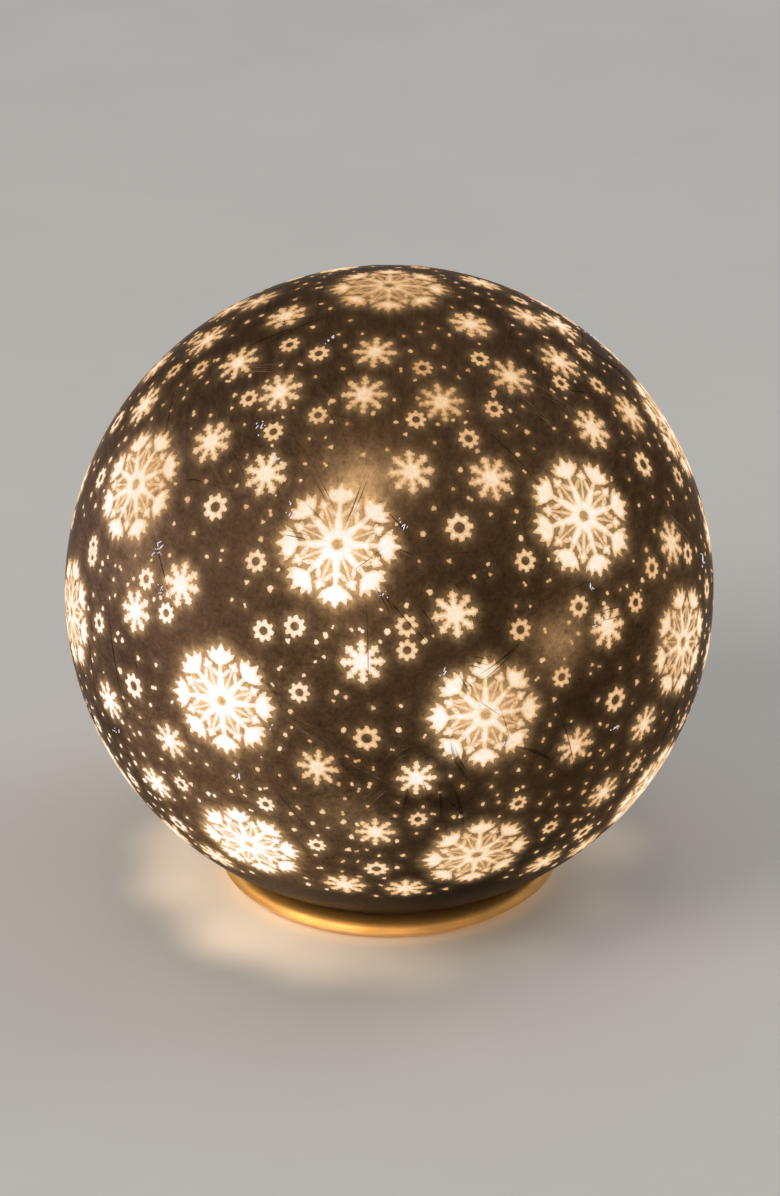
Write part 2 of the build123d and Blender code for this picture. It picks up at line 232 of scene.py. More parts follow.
# What the lower windows throw on the base and the table, as soft warm lights close under the ball.
SPILL_OUT, SPILL_HEIGHT, SPILL_AIM = 84 * MM, 34 * MM, 52 * MM
window_spills = [                              # turn, milliwatts
    (-75, 3.2), (-45, 4.2), (-20, 2.6), (5, 1.4), (35, 0.7), (65, 0.7), (100, 1.4), (135, 2), (170, 2),
    (-155, 2), (-125, 2), (-100, 2.4),
]
for turn, milliwatts in window_spills:
    spill = bpy.data.lights.new("window_spill", "AREA")
    spill.shape = "DISK"
    spill.size = 0.03
    spill.energy = milliwatts * 0.001
    spill.spread = math.radians(75)
    spill.color = (1.0, 0.72, 0.46)
    lamp = bpy.data.objects.new("window_spill", spill)
    side = Vector((math.sin(math.radians(turn)), -math.cos(math.radians(turn)), 0))
    lamp.location = side * SPILL_OUT + Vector((0, 0, SPILL_HEIGHT))
    lamp.rotation_euler = (side * SPILL_AIM - lamp.location).to_track_quat("-Z", "Y").to_euler()
    scene.collection.objects.link(lamp)


# ---- Light inside the ball ----------------------------------------------------------------------
# A coil of warm white LEDs stands in the ball. Where a drop sits close to the wall, the windows in
# front of it are nearly white and the coating round them glows; elsewhere they are amber.
def facing(lat, turn):
    """Directions from the ball's middle: degrees above its waist, and degrees to the right of the front."""
    lat, turn = np.radians(lat), np.radians(turn)
    across = np.cos(lat)
    return np.stack([across * np.sin(turn), -across * np.cos(turn), np.sin(lat) * np.ones_like(turn)], -1)


def spots(directions, places, base):
    """How bright each direction is: the base and a soft spot at each (height, turn, spread, strength)."""
    level = np.full(len(directions), float(base))
    for lat, turn, reach, strength in places:
        apart = np.degrees(np.arccos(np.clip(directions @ facing(lat, turn), -1, 1)))
        level += strength * np.exp(-(apart / reach) ** 2)
    return level


# Each spot: height, turn, how far it spreads, all in degrees, and its strength.
drops_near_windows = [
    (3, -29, 14, 0.62), (-27, -28, 15, 0.75), (26, -11, 11, 0.52), (34, -2, 6, 0.15), (18, -40, 15, 0.3),
    (3, -58, 17, 0.5), (26, -72, 14, 0.45), (-22, -58, 15, 0.5), (13, -8, 9, 0.25), (4, 7, 7, 0.3),
    (-4, 15, 9, 0.22), (12, 13, 9, 0.22), (-28, 8, 12, 0.22), (32, 43, 11, 0.22), (-8, 5, 8, 0.2),
    (40, 20, 12, 0.1), (20, 35, 8, 0.12), (52, -38, 14, 0.2), (-30, 62, 14, 0.3), (0, 74, 13, 0.18),
    (8, 104, 15, 0.5), (-26, 118, 14, 0.45), (34, 128, 14, 0.45), (6, 152, 15, 0.55), (-30, 165, 14, 0.4),
    (36, 178, 13, 0.45), (2, -164, 15, 0.5), (-24, -140, 14, 0.5), (28, -128, 14, 0.45),
    (5, -108, 15, 0.5), (-30, -98, 14, 0.4), (60, 95, 16, 0.2), (62, -150, 15, 0.2),
]
drops_behind_coat = [
    (44, -7, 7, 0.42), (13, 30, 5, 0.5), (3, -29, 17, 0.36), (-27, -28, 17, 0.36), (14, -62, 22, 0.34),
    (22, -8, 9, 0.25), (38, -20, 20, 0.25), (45, 30, 26, 0.08), (10, 60, 16, 0.08), (-6, 18, 14, 0.1),
    (30, -60, 18, 0.15), (-3, 31, 11, -0.09), (-12, 8, 9, -0.12), (5, -49, 7, -0.1), (-40, 12, 14, -0.1),
    (50, -2, 6, -0.06), (8, 104, 18, 0.4), (34, 130, 15, 0.36), (6, 152, 16, 0.36), (-24, -140, 18, 0.4),
    (28, -128, 16, 0.34), (2, -164, 18, 0.36), (-26, 118, 16, 0.34), (5, -105, 18, 0.34),
    (36, 178, 15, 0.3), (-7, -46, 9, 0.25), (-18, 24, 17, -0.05), (-34, 18, 15, -0.05),
]
glow_through_film = [
    (41.8, -7, 4.6, 0.4), (13.5, 30, 4, 0.16), (-16, -8, 5, 0.1), (20, -50, 6, 0.12), (8, 100, 7, 0.25),
    (30, 150, 7, 0.3), (-12, -140, 8, 0.25), (24, -100, 7, 0.25),
]
violet_film = [(15, -66, 38, 1.0), (-20, 150, 35, 0.8), (55, 80, 25, 0.5)]

# ---- Snowflake windows --------------------------------------------------------------------------
# Stencils are stuck on the blown ball before it is silvered and peeled off afterwards, which leaves
# clear glass. One sheet of stencils repeats seven times round the upper half and another eight times
# round the lower half, with one large flake on the crown. Each window is a thin pane on the glass.
WINDOW_LIFT = 0.10 * MM
WINDOW_WALL = 0.14 * MM


def ring_of(count, reach, start=0.0, middle=(0.0, 0.0)):
    """Points on a circle; reach is its radius, or a function of the angle that gives it."""
    angles = [start + 2 * math.pi * k / count for k in range(count)]
    return [(middle[0] + (reach(a) if callable(reach) else reach) * math.cos(a),
             middle[1] + (reach(a) if callable(reach) else reach) * math.sin(a)) for a in angles]


def turned(outline, angle, scale=1.0, shift=(0.0, 0.0)):
    """The outline turned anticlockwise, scaled and then moved."""
    c, s = math.cos(angle) * scale, math.sin(angle) * scale
    return [(c * x - s * y + shift[0], s * x + c * y + shift[1]) for x, y in outline]


def mirrored(half):
    """A closed outline from the points of its right half, which runs from the bottom to the top."""
    return half + [(-x, y) for x, y in reversed(half) if abs(x) > 1e-6]


cut = random.Random(3)


def ragged(outline, unevenness):
    """The outline as cut and torn: a point added in each side, and each point shifted a little."""
    split = []
    for here, after in zip(outline, outline[1:] + outline[:1]):
        split += [here, ((here[0] + after[0]) / 2, (here[1] + after[1]) / 2)]
    return [(x + cut.gauss(0, unevenness), y + cut.gauss(0, unevenness)) for x, y in split]


SIDE_STEPS = 5                                 # places on each border side that depth is measured from


def stencil(outlines, holes, spacing, unevenness):
    """A flat mesh of overlapping outlines less round holes (x, y, radius), and how far in its points are."""
    points, loops = [], []
    outlines = [ragged(outline, unevenness) for outline in outlines]
    punched = [ragged(ring_of(14, radius, middle=(x, y)), unevenness / 2) for x, y, radius in holes]
    for outline in outlines + punched:
        loops.append(list(range(len(points), len(points) + len(outline))))
        points += outline
    steps = int(1 / spacing)
    points += [(i * spacing, j * spacing + 0.013) for i in range(-steps, steps + 1)
               for j in range(-steps, steps + 1) if math.hypot(i, j) * spacing < 1]
    found, _, triangles, _, _, inside = delaunay_2d_cdt([Vector(p) for p in points], [], loops, 1, 1e-5)
    kept = [t for t, within in zip(triangles, inside) if within and max(within) < len(outlines)]
    used = sorted({i for t in kept for i in t})
    number = {old: new for new, old in enumerate(used)}
    sides = [tuple(sorted(pair)) for t in kept for pair in zip(t, t[1:] + t[:1])]
    seen_once = [pair for pair, times in Counter(sides).items() if times == 1]
    border = kdtree.KDTree(SIDE_STEPS * len(seen_once))
    for index, (a, b) in enumerate(seen_once):
        for step in range(SIDE_STEPS):
            place = found[a].lerp(found[b], step / (SIDE_STEPS - 1))
            border.insert(place.to_3d(), SIDE_STEPS * index + step)
    border.balance()
    depth = np.array([border.find(found[i].to_3d())[2] for i in used])
    return np.array([found[i] for i in used]), [tuple(number[i] for i in t) for t in kept], depth


def large_flake():
    """Eight stems that end in five-pointed crowns, with leaves on them, and eight thin spokes between."""
    stem = mirrored([(0.078, 0.05), (0.07, 0.3), (0.056, 0.46), (0.036, 0.6), (0.034, 0.72)])
    leaf = mirrored([(0.0, 0.0), (0.024, 0.04), (0.037, 0.11), (0.039, 0.17), (0.024, 0.23), (0.0, 0.265)])
    crown = mirrored([(0.0, 0.6), (0.045, 0.625), (0.11, 0.655), (0.17, 0.695), (0.22, 0.74), (0.252, 0.785),
                      (0.275, 0.84), (0.232, 0.835), (0.192, 0.83), (0.19, 0.87), (0.176, 0.935),
                      (0.142, 0.915), (0.1, 0.868), (0.068, 0.885), (0.046, 0.92), (0.03, 0.965), (0.0, 1.0)])
    spoke = mirrored([(0.03, 0.1), (0.022, 0.4), (0.02, 0.66)])
    leaf_root, leaf_lean = 0.405, 0.84         # how far up the stem a leaf starts, and how it leans
    bud = mirrored([(0.0, 0.585), (0.03, 0.6), (0.085, 0.63), (0.098, 0.68), (0.058, 0.69), (0.044, 0.71),
                    (0.028, 0.745), (0.0, 0.77)])
    outlines = [ring_of(48, lambda a: 0.275 + 0.03 * math.cos(8 * a))]
    for k in range(8):
        angle = k * math.pi / 4
        outlines += [turned(stem, angle), turned(crown, angle)]
        for side in (-1, 1):
            root = (leaf_root * -math.sin(angle), leaf_root * math.cos(angle))
            outlines.append(turned(leaf, angle + side * leaf_lean, shift=root))
        outlines += [turned(spoke, angle + math.pi / 8), turned(bud, angle + math.pi / 8)]
    return stencil(outlines, [(0, 0, 0.083)], 0.068, 0.0055)


def arms_on_star(arm, hub, wave):
    """Eight arms on a solid star of that radius, whose edge goes in and out by the wave."""
    star = ring_of(32, lambda a: hub + wave * math.cos(8 * a))
    return stencil([star] + [turned(arm, k * math.pi / 4) for k in range(8)], [], 0.15, 0.02)


def club_flake():
    """Eight arms with knuckles and forked, rounded ends on a solid star."""
    arm = mirrored([(0.15, 0.3), (0.125, 0.46), (0.185, 0.53), (0.195, 0.59), (0.125, 0.65), (0.125, 0.7),
                    (0.205, 0.76), (0.22, 0.84), (0.15, 0.865), (0.1, 0.93), (0.05, 1.0), (0.0, 1.0)])
    return arms_on_star(arm, 0.47, 0.05)


def forked_flake():
    """Eight slim arms with small side points."""
    arm = mirrored([(0.16, 0.25), (0.12, 0.44), (0.11, 0.53), (0.18, 0.62), (0.19, 0.7), (0.12, 0.72),
                    (0.11, 0.79), (0.14, 0.87), (0.1, 0.95), (0.04, 1.0), (0.0, 1.0)])
    return arms_on_star(arm, 0.45, 0.06)


def ring_star():
    """A ring with eight blunt points and a round hole."""
    outline = ring_of(40, lambda a: 0.86 + 0.14 * math.cos(8 * a) - 0.04 * math.cos(16 * a))
    return stencil([outline], [(0, 0, 0.37)], 0.16, 0.022)


def crystal(seed):
    """A small uneven grain."""
    draw = random.Random(seed)
    bumps = [draw.uniform(0.5, 1.05) for _ in range(7)]

    def reach(angle):
        place = angle / (2 * math.pi) * len(bumps)
        part = place - math.floor(place)
        low, high = bumps[int(place) % len(bumps)], bumps[(int(place) + 1) % len(bumps)]
        return low + (high - low) * (3 - 2 * part) * part ** 2 - 0.1 * math.sin(math.pi * part) ** 2

    return stencil([ring_of(14, reach)], [], 0.42, 0.03)


def twin(seed):
    """Two small grains that touch."""
    draw = random.Random(seed)
    return stencil([ring_of(10, 0.52, middle=(-0.48, draw.uniform(-0.1, 0.1))),
                    ring_of(10, 0.46, middle=(0.46, draw.uniform(-0.15, 0.15)))], [], 0.42, 0.03)


cutters = {"large": large_flake, "club": club_flake, "forked": forked_flake, "ring": ring_star}
designs = {kind: [cutter() for _ in range(3)] for kind, cutter in cutters.items()}
designs["grain"] = [crystal(seed) for seed in range(9)] + [twin(1), twin(2)]

# Each sheet's stencils: kind, height above the waist, turn within the sheet and radius, in degrees.
upper_sheet = [
    ("large", 32, 0, 10.6), ("club", 44.5, 15, 3.9), ("club", 42, 33, 3.9), ("forked", 59, 2, 3.9),
    ("forked", 57, 26, 3.9), ("club", 20.5, 21.5, 3.9), ("ring", 34.5, 24, 2.5), ("ring", 27.5, 36, 2.0),
    ("ring", 49.5, 30.5, 1.9), ("ring", 54, 17.5, 1.8), ("ring", 54, 41, 1.8), ("ring", 19, 13, 2.0),
    ("ring", 18, 45, 2.0),
]
lower_sheet = [
    ("large", 3, 0, 10.0), ("large", -28, 1, 9.6), ("club", 13, 24.5, 3.7), ("forked", -6.5, 17, 3.6),
    ("forked", -8, 33.5, 3.4), ("forked", -20, 26.5, 3.4), ("club", -37, 19.5, 3.6),
    ("club", -38, 32.5, 3.5), ("ring", 16.5, 7, 2.0), ("ring", 15, 32, 1.9), ("ring", 7, 14, 1.9),
    ("ring", -0.3, 25.3, 2.4), ("ring", -16, 7, 1.7), ("ring", -17, 34, 1.7), ("ring", -24.5, 15.5, 1.7),
    ("ring", -30.5, 26.5, 2.2),
]
# Grains of each sheet: height, turn, radius.
upper_grains = [
    (57, -7.5, 0.9), (53, -6, 0.6), (53, -1.5, 0.6), (50, -6.5, 0.5), (48.5, -4.5, 0.8), (45.3, -5, 0.6),
    (47.5, 3.7, 0.9), (48.5, 9.5, 0.6), (55.3, 5.5, 0.8), (58, 11.5, 0.6), (53.6, 12, 0.9),
    (51.3, 14.3, 0.6), (45, 6.5, 0.4), (49.4, 21.5, 0.6), (58.2, 19, 0.6), (52.7, 23.3, 0.6),
    (53.3, 27.8, 0.6), (52.5, 31.2, 0.6), (54.6, 33, 0.5), (47, 31.8, 0.6), (44.2, 26.6, 0.8),
    (41, 24, 0.6), (38, 19.3, 0.7), (39, 27.2, 0.8), (36, 31, 0.6), (38.8, 36.8, 0.5), (35.8, 36.7, 0.9),
    (34, 35.6, 0.6), (34, 16.6, 0.8), (35.7, 11.5, 0.6), (29.5, 15.6, 0.6), (29.2, 21.2, 0.7),
    (28, 28.5, 0.6), (26.3, 25.6, 0.6), (26.3, 28.7, 0.6), (31.2, 36, 0.9), (26.8, 40.7, 0.5),
    (23.8, 35, 0.7), (23.5, 39.8, 0.8), (24.3, 17.2, 0.7), (22.3, 13, 0.7), (21.7, 8.5, 0.6),
    (20.5, 32.7, 0.6), (20, 35.4, 0.6), (45, 41.5, 0.7), (42, 41.5, 0.6), (49.5, 40.8, 0.6),
    (56.5, 43, 0.5), (17, -1, 0.8), (18.5, 0.3, 0.6), (18.2, 3.5, 0.6), (18.3, 5.2, 0.7), (18, 9.6, 0.8),
    (16.5, 8.5, 0.6), (16.4, 16, 0.8), (17.2, 17.5, 0.6), (61.5, 35, 0.6), (62, 19, 0.5),
]
lower_grains = [
    (13.5, 18, 0.7), (7.6, 20.3, 0.6), (6.8, 21.8, 0.6), (6.1, 19.8, 0.6), (5.2, 26.4, 0.6),
    (5.5, 30.9, 0.6), (1.2, 30.6, 0.8), (1, 21.4, 0.9), (-2.4, 29.5, 0.6), (-3.9, 22, 0.6),
    (-4.7, 23.7, 0.8), (-6, 26.4, 0.6), (-7, 20.4, 0.6), (-9.4, 20.5, 0.8), (-9.3, 22.8, 0.6),
    (-9.4, 25.6, 0.8), (-10.5, 23.8, 0.6), (-12.5, 21.4, 0.6), (-14, 25.3, 0.7), (-13, 30.4, 0.6),
    (0, 34.8, 0.6), (-8, 39.3, 0.5), (-11.2, 37.5, 0.5), (-10.3, 41.3, 0.8), (-11.2, 1.5, 0.7),
    (-8.4, 2.2, 0.5), (-13.2, 2.8, 0.6), (-8.7, 6.3, 0.7), (-12.8, 6.3, 0.6), (-9, 10.3, 0.5),
    (-6, 7.2, 0.4), (-3.7, 10.5, 0.6), (-1, 11.6, 0.7), (0.6, 12.7, 0.5), (3.4, 12.5, 0.8),
    (7.7, 9.3, 0.6), (10.7, 10.5, 0.8), (10, 14.7, 0.6), (12.5, 16.5, 0.6), (-1.5, 15.8, 0.5),
    (-11.3, 12.7, 0.6), (15.5, 11.5, 0.7), (15.8, 16.5, 0.6), (-15, 3.2, 0.6), (-14.8, 0.4, 0.6),
    (-17, -3.4, 0.8), (-12.4, 7.5, 0.6), (-17.3, 11.6, 0.7), (-15.6, 13, 0.6), (-15.8, 17.3, 0.8),
    (-19.6, 18, 0.6), (-18.9, 15.3, 0.7), (-15.8, 21, 0.6), (-17.8, 21, 0.8), (-18.2, 23.4, 0.6),
    (-21.2, 11.7, 0.8), (-21.8, 16, 0.6), (-18.3, 3.8, 0.7), (-21.4, 22.3, 0.9), (-24.9, 21.4, 0.9),
    (-25.3, 23, 0.7), (-24.8, 24.8, 0.7), (-27.5, 14.9, 0.8), (-28.6, 20, 0.7), (-28.3, 23, 0.7),
    (-26.4, 27, 0.5), (-26.3, 31.6, 0.7), (-30, 30.6, 0.8), (-31.5, 15, 0.9), (-33.4, 23, 0.9),
    (-33.8, 28, 0.7), (-32, 19.6, 0.6), (-36.5, 27.2, 0.7), (-36.2, 11, 0.7), (-39, 10.9, 1.0),
    (-16, 30, 0.6), (-14.2, 34.8, 0.6), (-16, 36.6, 0.7), (-17, 40.3, 0.7), (-19.6, 37.5, 0.6),
    (-20.4, 33.8, 0.6), (-22.3, 30.3, 0.6), (-41.5, 26, 1.0), (-40, 15, 0.8), (-41, 38, 0.8),
    (-39.5, 41.5, 0.9),
]
crown_stencils = [
    ("large", 90, 0, 10.4), ("ring", 66.5, -47, 1.9), ("ring", 66.5, -31, 1.9), ("ring", 64.5, 13, 1.8),
    ("ring", 64.3, 37.5, 1.8), ("forked", 68.5, -6.5, 3.7), ("club", 72, 51, 3.7),
    ("forked", 65.5, 86, 3.6), ("club", 71, -70, 3.7), ("forked", 66, -104, 3.6), ("club", 71, 122, 3.7),
    ("forked", 66, 160, 3.6), ("ring", 66, 105, 1.8), ("ring", 74, 160, 1.8), ("ring", 66, -135, 1.8),
    ("club", 71, -152, 3.6),
]
UPPER_COUNT, UPPER_START = 7, -10
LOWER_COUNT, LOWER_START = 8, -29

scatter = random.Random(11)
windows = []                                   # kind, height, turn, radius
for k in range(UPPER_COUNT):
    start = UPPER_START + k * 360 / UPPER_COUNT
    windows += [(kind, lat, start + turn, reach) for kind, lat, turn, reach in upper_sheet]
    windows += [("grain", lat, start + turn, reach) for lat, turn, reach in upper_grains]
for k in range(LOWER_COUNT):
    start = LOWER_START + k * 360 / LOWER_COUNT
    windows += [(kind, lat, start + turn, reach) for kind, lat, turn, reach in lower_sheet]
    windows += [("grain", lat, start + turn, reach) for lat, turn, reach in lower_grains]
windows += crown_stencils
taken = [(facing(lat, turn), reach) for _, lat, turn, reach in windows]
LOOSE_GAP = 0.8                                # degrees between loose grains and their neighbours
for _ in range(220):                           # loose grains between the crown and the upper sheets
    lat, turn = scatter.uniform(61, 79), scatter.uniform(-180, 180)
    reach = scatter.uniform(0.5, 0.85)
    here = facing(lat, turn)
    gaps = [math.degrees(math.acos(min(1.0, float(here @ there)))) - reach - size for there, size in taken]
    if min(gaps) > LOOSE_GAP:
        windows.append(("grain", lat, turn, reach))
        taken.append((here, reach))


def laid_on_ball(flat, lat, turn, reach, roll):
    """The flat points of a stencil of unit radius, wrapped on the ball there."""
    out = facing(lat, turn)
    right = np.array([math.cos(math.radians(turn)), math.sin(math.radians(turn)), 0.0])
    up = np.cross(right, out)
    if up[2] < 0:
        up = -up
    c, s = math.cos(roll), math.sin(roll)
    x, y = flat[:, 0] * c - flat[:, 1] * s, flat[:, 0] * s + flat[:, 1] * c
    arc = np.radians(reach) * np.hypot(x, y)
    bearing = np.arctan2(y, x)
    along = np.cos(bearing)[:, None] * right + np.sin(bearing)[:, None] * up
    return np.cos(arc)[:, None] * out + np.sin(arc)[:, None] * along


def linked(name, mesh, body="lamp"):
    """The mesh as a new object that rides on that body."""
    made = bpy.data.objects.new(name, mesh)
    scene.collection.objects.link(made)
    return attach(made, body)


def point_values(mesh, name, values):
    """Stores one number per point on the mesh."""
    mesh.attributes.new(name, "FLOAT", "POINT").data.foreach_set("value", np.asarray(values, np.float32))


def thin_piece(name, points, faces, lift, wall, material, **values):
    """A piece laid on the ball: directions and faces, its lift, its wall inwards and its point values."""
    mesh = bpy.data.meshes.new(name)
    mesh.from_pydata((points * (BALL_R + lift) + np.array(BALL_MIDDLE)).tolist(), [], faces)
    for value_name, numbers in values.items():
        point_values(mesh, value_name, numbers)
    mesh.materials.append(material)
    if mesh.polygons[0].normal.dot(Vector(points[mesh.polygons[0].vertices[0]])) < 0:
        mesh.flip_normals()
    piece = linked(name, mesh)
    thickness = piece.modifiers.new("wall", "SOLIDIFY")
    thickness.thickness = wall
    thickness.offset = -1


EDGE_FADE = 0.85                               # millimetres in which a window dims towards its edge
WINDOW_BASE = 0.42                             # how bright a window is away from the drops
window_light, tree, shader = material_named(
    "clear_glass_window", (0.05, 0.03, 0.015), 0.2, IOR=1.15, Emission_Strength=1.0)
lit = stored(tree, "lit")
uneven = placed(tree, mottle, Scale=420.0, Contrast=0.9).outputs["Mask"]
grainy = placed(tree, mottle, Scale=1500.0, Contrast=1.3).outputs["Mask"]
level = maths(tree, "ADD", lit, maths(tree, "MULTIPLY", maths(tree, "SUBTRACT", uneven, 0.5), 0.26))
level = maths(tree, "ADD", level, maths(tree, "MULTIPLY", maths(tree, "SUBTRACT", grainy, 0.5), 0.2))
edge = node(tree, "MapRange", From_Max=EDGE_FADE, To_Min=-0.36, To_Max=0.06)
tree.links.new(stored(tree, "depth"), edge.inputs["Value"])
level = maths(tree, "ADD", level, edge.outputs[0])
tones = node(tree, "ValToRGB")
for place, tone in ((0.0, (0.47, 0.23, 0.08)), (0.3, (0.78, 0.48, 0.235)), (0.62, (0.96, 0.77, 0.55)),
                    (1.0, (1.0, 0.97, 0.92))):
    stop = tones.color_ramp.elements[0] if place == 0 else tones.color_ramp.elements.new(place)
    stop.position = place
    stop.color = (*tone, 1)
tones.color_ramp.elements.remove(tones.color_ramp.elements[-1])
tree.links.new(level, tones.inputs["Fac"])
tree.links.new(tones.outputs["Color"], shader.inputs["Emission Color"])

window_points = []                             # each piece's glow and the directions of its panes
piece_kinds = {                                # the kinds in each piece, and how much glows round them
    "large_flake_windows": (("large",), 0.62), "medium_flake_windows": (("club", "forked"), 0.5),
    "ring_star_windows": (("ring",), 0.36), "grain_windows": (("grain",), 0.2),
}
for piece_name, (kinds, glow_round) in piece_kinds.items():
    points, triangles, levels, depths, count = [], [], [], [], 0
    for kind, lat, turn, reach in windows:
        if kind not in kinds:
            continue
        flat, faces, depth = designs[kind][scatter.randrange(len(designs[kind]))]
        roll = scatter.uniform(0, 2 * math.pi) if kind == "grain" else scatter.uniform(-0.09, 0.09)
        reach *= scatter.uniform(0.6, 0.92) if kind == "grain" else 1
        directions = laid_on_ball(flat, lat, turn, reach, roll)
        high_up = min(max((lat - 35) / 45, 0), 1)                  # softer and more amber towards the crown
        depths.append(depth * math.radians(reach) * BALL_R / MM * (1 - 0.45 * high_up))
        own = scatter.uniform(-0.18, 0.1) if kind == "grain" else scatter.uniform(-0.06, 0.07)
        levels.append(spots(directions, drops_near_windows, WINDOW_BASE - 0.05 * high_up) + own)
        points.append(directions)
        triangles += [tuple(i + count for i in face) for face in faces]
        count += len(flat)
    points = np.concatenate(points)
    window_points.append((glow_round, points))
    thin_piece(piece_name, points, triangles, WINDOW_LIFT, WINDOW_WALL, window_light,
               lit=np.concatenate(levels), depth=np.concatenate(depths))

# ---- Glass ball ---------------------------------------------------------------------------------
# Blown glass with a flat cut under it, silvered on the inside with a thin brown-black film that the
# light glows through. The film is uneven: it has brush marks, thin spots and fine hair lines.
GLASS_WALL = 1.8 * MM
cut_height = ball_low.z - BALL_MIDDLE.z
TURNS, OUTER_ROWS, INNER_ROWS = 460, 176, 24


def wall_profile(radius, rows, start, end):
    """(radius, height) points down a meridian of the ball."""
    angles = np.linspace(start, end, rows)
    return [(radius * math.sin(a), radius * math.cos(a)) for a in angles]


outer_end = math.acos(cut_height / BALL_R)
inner_r = BALL_R - GLASS_WALL
inner_end = math.acos(cut_height / inner_r)
profile = wall_profile(BALL_R, OUTER_ROWS, math.pi / OUTER_ROWS, outer_end)
profile += wall_profile(inner_r, INNER_ROWS, inner_end, math.pi / INNER_ROWS)
angles = np.linspace(0, 2 * math.pi, TURNS, endpoint=False)
radii, heights = np.array(profile).T
body_points = np.stack([np.outer(radii, np.sin(angles)), -np.outer(radii, np.cos(angles)),
                        np.repeat(heights[:, None], TURNS, 1)], -1).reshape(-1, 3)
all_points = np.concatenate([body_points, [(0, 0, BALL_R), (0, 0, inner_r)]])
faces = []
for row in range(len(profile) - 1):
    above, under = row * TURNS, (row + 1) * TURNS
    faces += [(above + k, under + k, under + (k + 1) % TURNS, above + (k + 1) % TURNS) for k in range(TURNS)]
crown_point, last_row = len(body_points), (len(profile) - 1) * TURNS
inner_crown = crown_point + 1
faces += [(crown_point, k, (k + 1) % TURNS) for k in range(TURNS)]
faces += [(inner_crown, last_row + (k + 1) % TURNS, last_row + k) for k in range(TURNS)]
ball_mesh = bpy.data.meshes.new("silvered_ball")
ball_mesh.from_pydata((all_points + np.array(BALL_MIDDLE)).tolist(), [], faces)
ball_mesh.polygons.foreach_set("use_smooth", [True] * len(ball_mesh.polygons))
ball_mesh.set_sharp_from_angle(angle=math.radians(50))

HALO_FADE = 0.95                               # millimetres in which the glow round a window fades
directions = all_points / np.linalg.norm(all_points, axis=1)[:, None]
COAT_BASE = 0.147                              # how brightly the film glows away from the drops
coat_level = spots(directions, drops_behind_coat, COAT_BASE)
# Under the pattern fewer drops shine through; the 0.35 kept there is a painted warm reflection of the gold
# ring.
coat_level *= 0.35 + 0.65 * np.clip((directions[:, 2] + 0.83) / 0.2, 0, 1)      # dark under the pattern
window_level = np.clip(spots(directions, drops_near_windows, 0.3), 0, 1.2)
halo = np.zeros(len(directions))
for strength, points in window_points:
    near = kdtree.KDTree(len(points))
    for index, point in enumerate(points):
        near.insert(Vector(point), index)
    near.balance()
    gap = np.array([near.find(Vector(d))[2] for d in directions]) * BALL_R / MM
    halo = np.maximum(halo, np.exp(-gap / HALO_FADE) * strength * window_level)
amber_in = {"large": 0.85, "club": 0.45, "forked": 0.45}
for kind, lat, turn, reach in windows:         # amber light in the gaps of a flake, less in its hub
    if kind in amber_in:
        apart = np.degrees(np.arccos(np.clip(directions @ facing(lat, turn), -1, 1))) / reach
        amber = np.exp(-(apart / 0.55) ** 2) * (1 - 0.5 * np.exp(-(apart / 0.12) ** 2))
        halo += amber * (0.3 + 0.7 * np.clip(window_level, 0, 1)) * amber_in[kind]
point_values(ball_mesh, "coat_level", coat_level)
point_values(ball_mesh, "halo", halo + spots(directions, glow_through_film, 0))
point_values(ball_mesh, "violet", np.clip(spots(directions, violet_film, 0), 0, 1))

# Brush marks: long fine streaks that run several ways, as the film is swilled round the ball.
brush_marks, given, put = make_group("brush_marks", {"Scale": 30.0, "Strength": 1.0}, ("Mask", "Dark"))
place = node(brush_marks, "TexCoord").outputs["Object"]
sums = []
for turn, tilt, squeeze in ((0.5, 0.3, 14.0), (-0.6, 0.2, 18.0), (1.4, -0.5, 10.0)):
    turned_place = node(brush_marks, "Mapping", Rotation=(tilt, turn, 0.4), Scale=(squeeze, 1.0, squeeze))
    brush_marks.links.new(place, turned_place.inputs["Vector"])
    streak = node(brush_marks, "TexNoise", Detail=4.0, Roughness=0.6, Distortion=0.6)
    brush_marks.links.new(turned_place.outputs[0], streak.inputs["Vector"])
    brush_marks.links.new(given.outputs["Scale"], streak.inputs["Scale"])
    sums.append(streak.outputs["Fac"])
mixed = maths(brush_marks, "ADD", maths(brush_marks, "ADD", sums[0], sums[1]), sums[2])
off_mean = maths(brush_marks, "SUBTRACT", mixed, 1.5)
level = maths(brush_marks, "MULTIPLY", off_mean, given.outputs["Strength"])
brush_marks.links.new(maths(brush_marks, "ADD", level, 0.5), put.inputs["Mask"])
line = maths(brush_marks, "ABSOLUTE", maths(brush_marks, "SUBTRACT", sums[2], 0.56), 0.0)
faint = maths(brush_marks, "SUBTRACT", 1.0, maths(brush_marks, "MULTIPLY", line, 60.0))
brush_marks.links.new(maths(brush_marks, "MAXIMUM", faint, 0.0), put.inputs["Dark"])

coat, tree, shader = material_named(
    "silvered_film", (0.008, 0.005, 0.003), 0.3, IOR=1.04, Emission_Strength=1.0)
marks = placed(tree, brush_marks, Scale=42.0, Strength=2.2)
blots = placed(tree, mottle, Scale=26.0, Contrast=1.25)
specks = placed(tree, mottle, Scale=900.0, Contrast=1.0)
texture = maths(tree, "ADD", maths(tree, "MULTIPLY", marks.outputs["Mask"], 0.45),
                maths(tree, "ADD", maths(tree, "MULTIPLY", blots.outputs["Mask"], 0.5),
                      maths(tree, "MULTIPLY", specks.outputs["Mask"], 0.2)))
unscratched = maths(tree, "SUBTRACT", 1.0, maths(tree, "MULTIPLY", marks.outputs["Dark"], 0.4))
worn = maths(tree, "MULTIPLY", maths(tree, "ADD", texture, 0.37), unscratched)
strength = maths(tree, "MULTIPLY", stored(tree, "coat_level"), worn)
film_tone = between(tree, stored(tree, "violet"), (0.222, 0.112, 0.048), (0.222, 0.122, 0.082))
